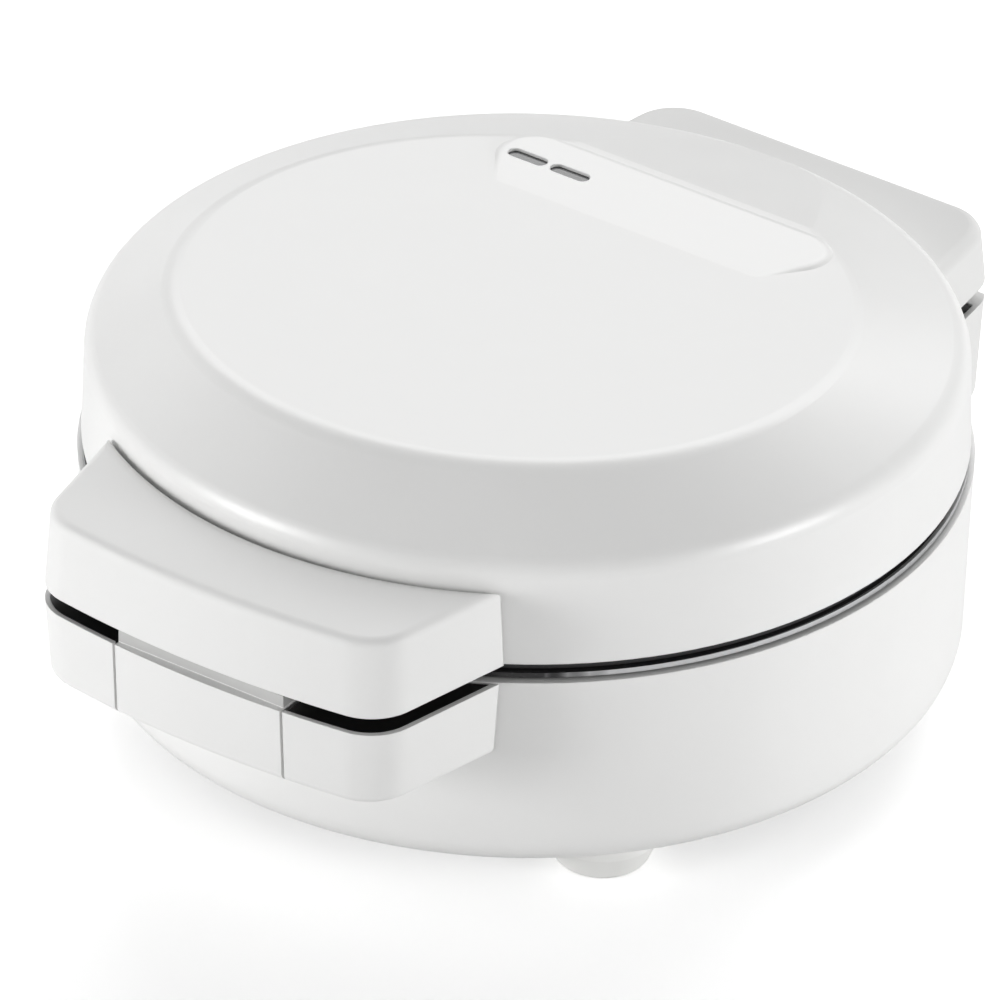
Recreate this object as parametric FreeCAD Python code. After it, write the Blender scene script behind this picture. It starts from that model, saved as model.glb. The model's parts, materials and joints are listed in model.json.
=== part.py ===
import FreeCAD, Part
import math
import os

# Round electric donut maker. Millimetres, +Z up, handle towards -Y, hinge towards +Y.
# The model is built about the axis of its round body and moved along Y when it is written,
# so that the origin lies under the middle of the whole object, on the table.

V = FreeCAD.Vector
UP = V(0, 0, 1)
DOWN = V(0, 0, -1)
SIDES = (-1, 1)

# Round body
foot_height = 7.2
base_height = 56.9
lid_r = 108.0
base_lip = 1.0
base_taper = 1.4
base_round_w = 16.6
base_round_h = 11.5
lid_taper = 0.8
lid_wall_h = 26.0
lid_crown_w = 24.0
lid_top_back = 5.9
lid_top_rise = 39.2
lid_slope_deg = 3.38
lid_edge_round = 7.0
shell_t = 2.5

# Seam between the two halves, from the base's rim upwards
lower_rim_gap = 0.8
lower_flange_t = 1.3
closing_gap = 0.4
upper_flange_t = 1.7
upper_rim_gap = 0.4

# Baking plates
lower_flange_inset = 1.2
upper_flange_inset = 1.6
plate_wall = 2.0
deck_inset = 7.0
skirt_h = 4.0
donut_share = 0.25
donut_hole_r = 7.0
donut_gap = 8.0
donut_count = 6
plate_boss_r = 5.5

# Heating elements
element_r = 3.3
element_gap_deg = 14.0
element_bend_r = 7.0
element_leg = 3.0
element_pin_r = 1.5
element_pin_l = 4.0
clamp_t = 1.5
clamp_w = 12.0
clamp_boss_r = 4.0
clamp_boss_out = 10.0
clamp_angles = (30.0, 150.0, 270.0)
shield_t = 0.6
shield_inset = 12.0
shield_rim_h = 6.0

# Posts, screws and feet
post_inset = 20.8
post_deg = 41.7
post_r = 6.5
post_cap = 5.0
screw_r = 2.0
screw_head_r = 3.6
screw_head_h = 2.0
screw_bite = 4.6
foot_r = 14.0
foot_tip_r = 11.0
foot_edge = 3.0
foot_stem_h = 8.0

# Handle and hinge block, as seen from above
handle_out = 26.3
handle_half_w = 51.0
handle_nose_r = 300.0
handle_flare = 0.207
handle_corner_r = 13.0
upper_handle_h = 20.9
lower_handle_h = 20.4
ear_draft = 1.1
ear_edge = 2.4
hinge_edge = 3.2
ear_wall = 2.5
ear_lip = 1.2
cover_t = 2.0
cover_sink = 0.3
hinge_out = 22.5
hinge_half_w = 50.5
hinge_flare = 0.136
hinge_corner_r = 13.0
upper_hinge_h = 15.2
lower_hinge_h = 29.0
hinge_roof = 6.5
ear_screw_x = 30.0
ear_boss_r = 4.5
ear_boss_l = 9.0
wire_window_w = 24.0
wire_window_h = 12.0

# Lid hinge
hinge_inset = 5.8
knuckle_r = 5.5
knuckle_l = 16.0
knuckle_count = 5
hinge_pin_r = 2.0
lid_open_deg = 100.0
stop_spare_deg = 1.0

# Latch
latch_half_w = 25.0
latch_t = 5.0
latch_slit = 0.7
latch_swing = 1.6
latch_pin_r = 1.5
latch_pin_depth = 8.3
latch_pin_drop = 6.1
latch_shelf_back = 2.5
latch_shelf_clear = 1.3
latch_shelf_depth = 9.0
latch_arm_half_w = 18.0
latch_arm_back = 8.0
latch_arm_t = 3.0
latch_ear_x = 14.0
latch_ear_w = 5.0
latch_ear_r = 4.0
catch_reach = 5.9
catch_rise = 1.5
catch_t = 2.0
barb_t = 2.6
barb_reach = 1.5
barb_gap = 0.6
lug_t = 4.0
spring_coil_r = 2.6
spring_wire_r = 0.4
spring_pitch = 1.2
spring_turns = 5
spring_leg = 6.0

# Lamp panel in the lid
panel_front_y = 39.5
panel_back_y = 66.2
panel_front_half_w = 41.5
panel_back_half_w = 56.0
panel_edge = 3.0
panel_corner_r = 11.0
panel_draft = 0.2
panel_step = 1.0
lens_l = 11.3
lens_w = 3.9
lens_y = 53.2
lens_xs = {"power": -38.4, "ready": -25.7}
lens_sink = 0.7
lens_flange = 1.2
lens_pad_t = 4.6
lens_pad_margin = 5.0
lamp_r = 2.1
lamp_l = 9.0
bracket_t = 1.0
bracket_boss_x = 0.0

# Electrical pieces in the base
thermostat_r = 8.0
thermostat_h = 6.5
thermostat_stud_l = 4.0
fuse_r = 2.0
fuse_l = 13.0
terminal_w = 34.0
terminal_d = 18.0
terminal_h = 13.0
terminal_y = 52.0
terminal_ways = 3
cord_r = 3.6
bush_wall = 2.4
bush_flange = 2.0
bush_flange_t = 1.8
bush_z = 44.0
lead_r = 1.1

# Clearances
seat_gap = 0.05
run_gap = 0.05
slot_gap = 0.4
groove_gap = 0.7
groove_round_w = 4.0
groove_round_h = 1.8
swing_gap = 0.4
hole_gap = 0.3

# Levels and places that follow from the sizes
base_rim_r = lid_r + base_lip
base_wall_r = base_rim_r - base_taper
base_flat_r = base_wall_r - base_round_w
lid_shoulder_r = lid_r - lid_taper
lid_top_r = lid_shoulder_r - lid_crown_w
lower_flange_r = base_rim_r - lower_flange_inset
upper_flange_r = lid_r - upper_flange_inset
deck_r = lid_r - deck_inset
donut_r = donut_share * lid_r
donut_pitch_r = 2 * donut_r + donut_gap
element_ring_r = donut_pitch_r
clamp_boss_at = element_ring_r + clamp_boss_out
shield_r = lid_r - shield_inset
handle_reach = lid_r + handle_out
hinge_reach = lid_r + hinge_out
post_x = (lid_r - post_inset) * math.cos(math.radians(post_deg))
post_y = (lid_r - post_inset) * math.sin(math.radians(post_deg))
z_floor = foot_height
z_rim = z_floor + base_height
z_lower_deck = z_rim + lower_rim_gap + lower_flange_t
z_upper_deck = z_lower_deck + closing_gap
z_lid = z_upper_deck + upper_flange_t + upper_rim_gap
z_shoulder = z_lid + lid_wall_h
z_hinge = (z_rim + z_lid) / 2
y_hinge = hinge_reach - hinge_inset
slope = math.tan(math.radians(lid_slope_deg))
donut_tube_r = (donut_r - donut_hole_r) / 2
donut_mid_r = donut_hole_r + donut_tube_r
mould_r = donut_tube_r + plate_wall
element_drop = mould_r + seat_gap + element_r
clamp_drop = element_drop + element_r + seat_gap
shield_drop = clamp_drop + clamp_t + screw_head_h + hole_gap
thermostat_r_at = donut_pitch_r / math.sqrt(3)
y_nose = -handle_reach
y_latch_pin = y_nose + latch_pin_depth
z_latch_pin = z_rim - latch_pin_drop
z_catch = z_lid + catch_rise
y_catch = y_nose + catch_reach
posts = [(sx * post_x, sy * post_y) for sx in SIDES for sy in SIDES]
y_axis = (handle_reach - hinge_reach - bush_flange_t) / 2


# Helpers

def top_z(y):
    """Height of the lid's sloping top at a distance behind the body's axis."""
    return z_lid + lid_top_rise - slope * y


def box(x0, x1, y0, y1, z0, z1):
    return Part.makeBox(x1 - x0, y1 - y0, z1 - z0, V(x0, y0, z0))


def rod(r, start, end):
    return Part.makeCylinder(r, (end - start).Length, start, end - start)


def disc(r, z0, z1, x=0.0, y=0.0):
    return Part.makeCylinder(r, z1 - z0, V(x, y, z0))


def ring(r_out, r_in, z0, z1, x=0.0, y=0.0):
    return disc(r_out, z0, z1, x, y).cut(disc(r_in, z0, z1, x, y))


def fuse(shapes):
    return shapes[0].multiFuse(shapes[1:]).removeSplitter()


def cut(shape, tools):
    return shape.cut(Part.makeCompound(tools))


def line(a, b):
    return Part.LineSegment(a, b).toShape()


def arc(a, b, c):
    return Part.Arc(a, b, c).toShape()


def turned(edges):
    """Solid turned about the Z axis from a closed outline in the XZ plane."""
    return Part.Face(Part.Wire(edges)).revolve(V(0, 0, 0), UP, 360)


def polar(r, deg, z=0.0):
    return V(r * math.cos(math.radians(deg)), r * math.sin(math.radians(deg)), z)


def capsule(length, width, z0, z1, x, y):
    """Upright slot shape, its length along X."""
    half = (length - width) / 2
    body = box(x - half, x + half, y - width / 2, y + width / 2, z0, z1)
    return fuse([body] + [disc(width / 2, z0, z1, x + s * half, y) for s in SIDES])


def screw(length, at, direction):
    """Cross-head screw whose head seats at a point and whose shank runs along a direction."""
    head = disc(screw_head_r, -screw_head_h, 0)
    slot = screw_r / 4
    deep = -screw_head_h / 2
    cross = [box(-screw_r, screw_r, -slot, slot, -screw_head_h, deep),
             box(-slot, slot, -screw_r, screw_r, -screw_head_h, deep)]
    body = cut(fuse([head, disc(screw_r, 0, length)]), cross)
    body.Placement = FreeCAD.Placement(at, FreeCAD.Rotation(UP, direction))
    return body


def flipped(shape):
    """The same shape turned over about the middle of the closing gap, for the lid's side."""
    mid = V(0, 0, (z_lower_deck + z_upper_deck) / 2)
    return shape.mirror(mid, UP)


def export(name, shapes):
    shape = Part.makeCompound(shapes) if isinstance(shapes, list) else shapes
    shape = shape.copy()
    shape.translate(V(0, y_axis, 0))
    shape.exportStep("parts/" + name + ".step")


# Base shell

def base_body(grow):
    """Outside of the bowl, grown outwards by a wall or a gap."""
    kappa = 4 * (math.sqrt(2) - 1) / 3
    a = base_wall_r - base_flat_r + grow
    b = base_round_h + grow
    z0 = z_floor - grow
    z1 = z_floor + base_round_h
    curve = Part.BezierCurve()
    curve.setPoles([V(base_flat_r, 0, z0), V(base_flat_r + kappa * a, 0, z0),
                    V(base_flat_r + a, 0, z1 - kappa * b), V(base_flat_r + a, 0, z1)])
    rim = V(base_rim_r + grow, 0, z_rim)
    return turned([line(V(0, 0, z0), V(base_flat_r, 0, z0)), curve.toShape(),
                   line(V(base_flat_r + a, 0, z1), rim), line(rim, V(0, 0, z_rim)),
                   line(V(0, 0, z_rim), V(0, 0, z0))])


z_post = z_lower_deck - shield_drop - shield_t
z_post_seat = z_post - post_cap
y_pad = math.sqrt((lid_shoulder_r - shell_t) ** 2 - (ear_screw_x + ear_boss_r) ** 2)
z_lower_ear_screw = z_rim - lower_handle_h / 2
z_upper_ear_screw = z_lid + upper_hinge_h / 2


def wall_pads(sign, z):
    """Flat screw seats inside a round wall, at the handle or at the hinge block."""
    return [rod(ear_boss_r, V(s * ear_screw_x, sign * y_pad, z), V(s * ear_screw_x, sign * lid_r, z))
            for s in SIDES]


def ear_screw_holes(sign, z):
    return [rod(screw_r + hole_gap, V(s * ear_screw_x, 0, z), V(s * ear_screw_x, sign * base_rim_r, z))
            for s in SIDES]


def base_shell():
    outside = base_body(0)
    inside = base_body(-shell_t)
    stand = [disc(post_r, z_floor, z_post, x, y) for x, y in posts]
    pads = wall_pads(-1, z_lower_ear_screw) + wall_pads(1, z_lower_ear_screw)
    seat = disc(terminal_d / 3, z_floor, z_floor + 2 * shell_t, 0, terminal_y)
    fittings = fuse(stand + pads + [seat]).common(outside)
    shell = fuse([outside.cut(inside), fittings])
    holes = [disc(screw_r + hole_gap, z_post_seat, z_post, x, y) for x, y in posts]
    wells = [disc(screw_head_r + hole_gap, z_floor - foot_height, z_post_seat, x, y) for x, y in posts]
    window = box(-wire_window_w / 2, wire_window_w / 2, base_flat_r, base_rim_r,
                 bush_z - wire_window_h / 2, bush_z + wire_window_h / 2)
    bite = [disc(screw_r + seat_gap, z_floor + shell_t, z_floor + 2 * shell_t, 0, terminal_y)]
    holes += ear_screw_holes(-1, z_lower_ear_screw) + ear_screw_holes(1, z_lower_ear_screw)
    return cut(shell, holes + wells + bite + [window])


def feet():
    """Soft feet that follow the bowl's rounded edge and plug the screw wells."""
    bowl = base_body(seat_gap)
    pads = []
    for x, y in posts:
        cone = Part.makeCone(foot_tip_r, foot_r, foot_height, V(x, y, 0))
        tip = [e for e in cone.Edges if e.BoundBox.ZMax < seat_gap]
        cone = cone.makeFillet(foot_edge, tip)
        collar = disc(foot_r, foot_height, foot_height + base_round_h / 2, x, y)
        pad = fuse([cone, collar]).cut(bowl)
        stem_r = screw_head_r + hole_gap - seat_gap
        stem = disc(stem_r, foot_height - foot_edge, foot_height + foot_stem_h, x, y)
        pads.append(fuse([pad, stem]))
    return pads


# Lid shell

def lid_body(grow):
    """Outside of the lid before its edges are rounded, grown outwards by a wall or a gap."""
    wall = turned([line(V(0, 0, z_lid), V(lid_r + grow, 0, z_lid)),
                   line(V(lid_r + grow, 0, z_lid), V(lid_shoulder_r + grow, 0, z_shoulder)),
                   line(V(lid_shoulder_r + grow, 0, z_shoulder), V(0, 0, z_shoulder)),
                   line(V(0, 0, z_shoulder), V(0, 0, z_lid))])
    tilt = V(0, slope, 1)
    middle = V(0, -lid_top_back, top_z(-lid_top_back) + grow)
    low = Part.Circle(V(0, 0, z_shoulder), UP, lid_shoulder_r + grow).toShape()
    high = Part.Circle(middle, tilt, lid_top_r + grow).toShape()
    crown = Part.makeLoft([Part.Wire(low), Part.Wire(high)], True, True)
    return fuse([wall, crown])


def panel_wedge():
    """Level panel that stands out of the sloping top, with drafted sides and round rear corners."""
    front = panel_front_y - panel_edge
    grow = (panel_back_half_w - panel_front_half_w) / (panel_back_y - panel_front_y)
    half = panel_front_half_w - grow * panel_edge
    wires = []
    for z in (z_shoulder, z_lens):
        out = panel_draft * (z_lens - z)
        plan = [V(-half, front, z), V(half, front, z), V(panel_back_half_w + out, panel_back_y + out, z),
                V(-panel_back_half_w - out, panel_back_y + out, z)]
        wires.append(Part.makePolygon(plan + plan[:1]))
    wedge = Part.makeLoft(wires, True, True)
    corners = [e for e in wedge.Edges
               if e.BoundBox.ZLength > panel_step and e.BoundBox.YMin > panel_back_y - panel_step]
    wedge = wedge.makeFillet(panel_corner_r, corners)
    lip = [e for e in wedge.Edges
           if e.BoundBox.ZMin > z_lens - seat_gap and e.BoundBox.YMax > panel_front_y]
    return wedge.makeFillet(panel_edge, lip)


def rear_fall(sink):
    """Everything above the even slope from the panel's rear edge down to the lid's shoulder."""
    z0 = z_lens - panel_step - sink
    far = 2 * lid_r
    fall = (z0 + sink - z_shoulder) / (lid_shoulder_r - panel_back_y)
    points = [V(-lid_r, panel_back_y, z0), V(-lid_r, far, z0 - fall * (far - panel_back_y)),
              V(-lid_r, far, z0 + far), V(-lid_r, panel_back_y, z0 + far)]
    return Part.Face(Part.makePolygon(points + points[:1])).extrude(V(2 * lid_r, 0, 0))


def lid_outside():
    body = lid_body(0)
    crest = [e for e in body.Edges
             if e.BoundBox.XLength > lid_top_r and e.BoundBox.ZMin > z_shoulder - seat_gap]
    body = body.makeFillet(lid_edge_round, crest)
    return fuse([body.cut(rear_fall(0)), panel_wedge()])


z_lens = top_z(panel_front_y)
z_pad = z_lens - lens_pad_t
lens_mid_x = sum(lens_xs.values()) / len(lens_xs)
z_lamp = z_pad - bracket_t - lamp_r - hole_gap
z_bracket = z_lamp - lamp_r - seat_gap
z_lid_post = z_upper_deck + shield_drop + shield_t


def lid_shell():
    outside = lid_outside()
    inside = lid_body(-shell_t).cut(rear_fall(shell_t))
    inside = fuse([inside, disc(lid_r - shell_t, z_lid - shell_t, z_lid + seat_gap)])
    limit = lid_body(-shell_t / 2)
    reach = max(lens_xs.values()) - min(lens_xs.values()) + lens_l + lens_pad_margin
    pad = box(lens_mid_x - reach / 2, lens_mid_x + reach / 2, lens_y - lens_pad_margin,
              lens_y + lens_pad_margin, z_pad, z_lens)
    boss = disc(ear_boss_r, z_bracket, z_lens, bracket_boss_x, lens_y)
    stand = [disc(post_r, z_lid_post, z_lens + lid_top_rise, x, y) for x, y in posts]
    pads = wall_pads(-1, z_upper_ear_screw) + wall_pads(1, z_upper_ear_screw)
    fittings = fuse(stand + pads + [pad, boss]).common(limit)
    shell = fuse([outside.cut(inside), fittings])
    slots = [capsule(lens_l, lens_w, z_pad, z_lens, x, lens_y) for x in lens_xs.values()]
    bites = [disc(screw_r + seat_gap, z_lid_post, z_lid_post + screw_bite, x, y) for x, y in posts]
    bites.append(disc(screw_r + seat_gap, z_bracket, z_bracket + screw_bite, bracket_boss_x, lens_y))
    window = box(-wire_window_w / 2, wire_window_w / 2, lid_top_r, lid_r,
                 z_upper_ear_screw - wire_window_h / 2, z_upper_ear_screw + wire_window_h / 2)
    holes = ear_screw_holes(-1, z_upper_ear_screw) + ear_screw_holes(1, z_upper_ear_screw)
    return cut(shell, slots + bites + holes + [window])


def lens(x):
    """Smoked capsule window, held by a flange under the panel."""
    top = capsule(lens_l - 2 * run_gap, lens_w - 2 * run_gap, z_pad - seat_gap, z_lens - lens_sink,
                  x, lens_y)
    flange = capsule(lens_l, lens_w + 2 * lens_flange, z_pad - bracket_t, z_pad - seat_gap, x, lens_y)
    return fuse([top, flange])


def lamp(x):
    half = (lamp_l - 2 * lamp_r) / 2
    tube = rod(lamp_r, V(x - half, lens_y, z_lamp), V(x + half, lens_y, z_lamp))
    return fuse([tube] + [Part.makeSphere(lamp_r, V(x + s * half, lens_y, z_lamp)) for s in SIDES])


def lamp_bracket():
    """Strip that carries both lamps under their lenses, screwed to a boss of the lid."""
    x0 = min(lens_xs.values()) - lens_l / 2
    x1 = bracket_boss_x + ear_boss_r
    strip = box(x0, x1, lens_y - ear_boss_r, lens_y + ear_boss_r, z_bracket - bracket_t - seat_gap,
                z_bracket - seat_gap)
    hole = disc(screw_r + hole_gap, z_bracket - 2 * bracket_t, z_bracket, bracket_boss_x, lens_y)
    return strip.cut(hole)


# Baking plates, heating elements and shields, as the base has them

def donut_places():
    return [V(0, 0, 0)] + [polar(donut_pitch_r, i * 360 / donut_count) for i in range(donut_count)]


def mould():
    """One ring mould: a half-round channel of even wall about a middle peg."""
    z = z_lower_deck
    inner, outer = donut_mid_r - mould_r, donut_mid_r + mould_r
    return turned([arc(V(inner, 0, z), V(donut_mid_r, 0, z - mould_r), V(outer, 0, z)),
                   line(V(outer, 0, z), V(donut_r, 0, z)),
                   arc(V(donut_r, 0, z), V(donut_mid_r, 0, z - donut_tube_r), V(donut_hole_r, 0, z)),
                   line(V(donut_hole_r, 0, z), V(inner, 0, z))])


def baking_plate(flange_r, flange_t, bite_depth):
    """Die-cast plate: thin flange, deck, skirt, ring moulds and screw bosses under them."""
    z = z_lower_deck
    deck = [disc(flange_r, z - flange_t, z), disc(deck_r, z - plate_wall, z),
            ring(deck_r, deck_r - plate_wall, z - skirt_h, z)]
    bosses = [disc(plate_boss_r, z - shield_drop, z, x, y) for x, y in posts]
    for deg in clamp_angles:
        at = polar(clamp_boss_at, deg)
        bosses.append(disc(clamp_boss_r, z - clamp_drop, z, at.x, at.y))
    channel = Part.makeTorus(donut_mid_r, donut_tube_r, V(0, 0, z))
    channels = [channel.translated(p) for p in donut_places()]
    plate = fuse(deck + bosses).cut(Part.makeCompound(channels))
    plate = fuse([plate] + [mould().translated(p) for p in donut_places()])
    bites = []
    for deg in clamp_angles:
        at = polar(clamp_boss_at, deg)
        bites.append(disc(screw_r + seat_gap, z - clamp_drop, z - clamp_drop + screw_bite, at.x, at.y))
    bites += [disc(screw_r + seat_gap, z - shield_drop, z - shield_drop + bite_depth, x, y)
              for x, y in posts]
    return cut(plate, bites)


def lower_baking_plate():
    plate = baking_plate(lower_flange_r, lower_flange_t, post_cap + 2 * screw_bite)
    studs = []
    for at in (thermostat_place(), fuse_place()):
        boss = disc(clamp_boss_r, z_lower_deck - mould_r, z_lower_deck - plate_wall / 2, at.x, at.y)
        hole = disc(screw_r + seat_gap, z_lower_deck - mould_r, z_lower_deck - plate_wall, at.x, at.y)
        studs.append((boss, hole))
    return cut(fuse([plate] + [b for b, h in studs]), [h for b, h in studs])


def upper_baking_plate():
    plate = baking_plate(upper_flange_r, upper_flange_t, shield_drop)
    sinks = [disc(screw_head_r + hole_gap, z_lower_deck - screw_head_h - hole_gap, z_lower_deck, x, y)
             for x, y in posts]
    return flipped(cut(plate, sinks))


def heating_element():
    """Open ring of tube under the moulds, its two ends turned down to the connection pins."""
    z = z_lower_deck - element_drop
    first, last = 90 + element_gap_deg, 450 - element_gap_deg
    edges = [arc(polar(element_ring_r, first, z), polar(element_ring_r, 270, z),
                 polar(element_ring_r, last, z))]
    tips = []
    for deg, turn in ((first, -1), (last, 1)):
        end = polar(element_ring_r, deg, z)
        ahead = polar(1.0, deg + turn * 90)
        half = math.sqrt(0.5) * element_bend_r
        mid = end + ahead * half + V(0, 0, half - element_bend_r)
        low = end + ahead * element_bend_r - V(0, 0, element_bend_r)
        tip = low - V(0, 0, element_leg)
        edges += [arc(end, mid, low), line(low, tip)]
        tips.append(tip)
    path = Part.Wire(Part.__sortEdges__(edges))
    start = path.OrderedVertexes[0].Point
    section = Part.Wire(Part.Circle(start, DOWN, element_r).toShape())
    tube = path.makePipeShell([section], True, False)
    pins = [rod(element_pin_r, tip + V(0, 0, element_r), tip - V(0, 0, element_pin_l)) for tip in tips]
    return fuse([tube] + pins), tips


def element_clamps():
    """Flat straps that hold the element against the moulds."""
    z = z_lower_deck - clamp_drop - seat_gap
    inner, outer = element_ring_r - 2 * element_r, clamp_boss_at + clamp_boss_r
    straps = []
    for deg in clamp_angles:
        strap = box(inner, outer, -clamp_w / 2, clamp_w / 2, z - clamp_t, z)
        strap = strap.cut(disc(screw_r + hole_gap, z - clamp_t, z, clamp_boss_at, 0))
        straps.append(strap.rotated(V(0, 0, 0), UP, deg))
    return straps


def clamp_screws():
    z = z_lower_deck - clamp_drop - clamp_t - 2 * seat_gap
    return [screw(screw_bite, polar(clamp_boss_at, deg, z), UP) for deg in clamp_angles]


def heat_shield(tips):
    """Bright pan between the hot side and the housing, clamped at the posts."""
    z = z_lower_deck - shield_drop - seat_gap
    pan = fuse([disc(shield_r, z - shield_t + 2 * seat_gap, z),
                ring(shield_r, shield_r - shield_t, z - shield_t + 2 * seat_gap, z + shield_rim_h)])
    holes = [disc(screw_r + hole_gap, z - shield_t, z, x, y) for x, y in posts]
    holes += [disc(element_r + 2 * slot_gap, z - shield_t, z, tip.x, tip.y) for tip in tips]
    return cut(pan, holes)


def base_plate_screws():
    reach = post_cap + shield_t + post_cap + screw_bite
    return [screw(reach, V(x, y, z_post_seat - seat_gap), UP) for x, y in posts]


def lid_plate_screws():
    z = z_upper_deck + screw_head_h + hole_gap - seat_gap
    return [screw(z_lid_post + screw_bite - hole_gap - z, V(x, y, z), UP) for x, y in posts]


# Handle halves and hinge blocks

def ear(reach, half_w, flare, nose_r, corner_r, z0, z1, inset, draft0, draft1):
    """Block that grows out of the round body towards -Y, narrower by a draft at each level."""
    root = lid_top_r
    wires = []
    for z, draft in ((z0, draft0), (z1, draft1)):
        w = half_w - inset - draft
        nose = -(reach - inset - draft)
        sag = nose_r - math.sqrt(nose_r ** 2 - w ** 2) if nose_r else 0.0
        left, right = V(-w, nose + sag, z), V(w, nose + sag, z)
        wide = w + flare * (-root - nose - sag)
        back_right, back_left = V(wide, -root, z), V(-wide, -root, z)
        front = arc(left, V(0, nose, z), right) if nose_r else line(left, right)
        wires.append(Part.Wire([front, line(right, back_right), line(back_right, back_left),
                                line(back_left, left)]))
    block = Part.makeLoft(wires, True, True)
    upright = [e for e in block.Edges
               if e.BoundBox.ZLength > (z1 - z0) / 2 and e.BoundBox.YMax < -root - ear_edge]
    return block.makeFillet(corner_r - inset, upright)


def rounded_rim(block, z, radius):
    """Rounds the outer edge of an ear at one level."""
    level = [e for e in block.Edges
             if abs(e.BoundBox.ZMin - z) < seat_gap and abs(e.BoundBox.ZMax - z) < seat_gap]
    rim = [e for e in level if e.BoundBox.YMin < -lid_top_r - ear_edge]
    return block.makeFillet(radius, rim)


def handle_ear(z0, z1, inset, draft0, draft1):
    return ear(handle_reach, handle_half_w, handle_flare, handle_nose_r, handle_corner_r, z0, z1, inset,
               draft0, draft1)


def hinge_ear(z0, z1, inset, draft0, draft1):
    """Block with the hinge block's outline, still towards the front."""
    return ear(hinge_reach, hinge_half_w, hinge_flare, 0.0, hinge_corner_r, z0, z1, inset,
               draft0, draft1)


def to_rear(shape):
    return shape.rotated(V(0, 0, 0), UP, 180)


def ear_bosses(sign, z, body, z_web):
    """Screw bosses that seat on the round wall, with a web to the ear's closed face."""
    bosses = []
    for s in SIDES:
        x = s * ear_screw_x
        y0, y1 = sign * lid_top_r, sign * (lid_r + ear_boss_l)
        boss = rod(ear_boss_r, V(x, y0, z), V(x, y1, z))
        web = box(x - ear_wall / 2, x + ear_wall / 2, min(y0, y1), max(y0, y1),
                  min(z, z_web), max(z, z_web))
        bosses.append(fuse([boss.cut(body(seat_gap)), web.cut(body(groove_gap))]))
    return bosses


def ear_bites(sign, z):
    return [rod(screw_r + seat_gap, V(s * ear_screw_x, sign * lid_top_r, z),
                V(s * ear_screw_x, sign * (lid_r + ear_boss_l - shell_t), z)) for s in SIDES]


def ear_screws(sign, z):
    length = lid_r - y_pad + ear_boss_l - 2 * shell_t
    return [screw(length, V(s * ear_screw_x, sign * (y_pad - seat_gap), z), V(0, sign, 0)) for s in SIDES]


z_handle_top = z_lid + upper_handle_h
z_handle_bottom = z_rim - lower_handle_h


def groove_round():
    """What is cut off to round the handle's top down into the groove along the lid."""
    r = lid_shoulder_r + groove_gap
    bend_r = (groove_round_w ** 2 + groove_round_h ** 2) / (2 * groove_round_h)
    half = math.asin(groove_round_w / bend_r) / 2
    inner = V(r, 0, z_handle_top - groove_round_h)
    middle = V(r + groove_round_w - bend_r * math.sin(half), 0, z_handle_top - bend_r * (1 - math.cos(half)))
    outer = V(r + groove_round_w, 0, z_handle_top)
    above, behind = V(lid_top_r, 0, z_handle_top), V(lid_top_r, 0, z_handle_top - groove_round_h)
    return turned([arc(inner, middle, outer), line(outer, above), line(above, behind), line(behind, inner)])


def upper_handle():
    """Upper half of the handle: a shell open below, with the ledge that the latch catches."""
    block = rounded_rim(handle_ear(z_lid, z_handle_top, 0, 0, ear_draft), z_handle_top, ear_edge)
    hollow = handle_ear(z_lid, z_handle_top - ear_wall, ear_wall, 0, ear_draft)
    rebate = handle_ear(z_lid, z_lid + cover_sink + cover_t, ear_lip, 0, 0)
    shell = block.cut(hollow.cut(lid_body(groove_gap + ear_wall))).cut(rebate)
    shell = shell.cut(lid_body(groove_gap))
    ledge = box(-latch_arm_half_w, latch_arm_half_w, y_nose, y_catch, z_catch, z_catch + catch_t)
    shell = shell.cut(handle_ear(z_lid, z_catch + catch_t, ear_wall, 0, 0).common(
        box(-latch_half_w, latch_half_w, y_nose, y_nose + catch_reach, z_lid, z_catch)))
    ledge = ledge.common(block)
    bosses = ear_bosses(-1, z_upper_ear_screw, lid_body, z_handle_top - ear_wall / 2)
    return cut(fuse([shell, ledge] + bosses), ear_bites(-1, z_upper_ear_screw) + [groove_round()])


def latch_gap_box(z0, z1):
    """Room for the latch's shelf and arms in the two black covers."""
    half = latch_half_w + slot_gap
    depth = latch_shelf_depth + 2 * latch_shelf_back + latch_arm_t
    return box(-half, half, y_nose, y_nose + depth, z0, z1)


def upper_handle_cover():
    z = z_lid + cover_sink
    plate = handle_ear(z, z + cover_t, ear_lip + run_gap, 0, 0)
    webs = ear_bosses(-1, z_upper_ear_screw, lid_body, z_handle_top)
    return cut(plate.cut(lid_body(groove_gap)), [latch_gap_box(z, z + cover_t)] + webs)


def latch_window(gap, depth):
    """The latch's place in the front of the lower handle."""
    half = latch_half_w - gap
    return box(-half, half, y_nose - latch_t, y_nose + depth, z_handle_bottom - latch_t, z_rim + latch_t)


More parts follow.
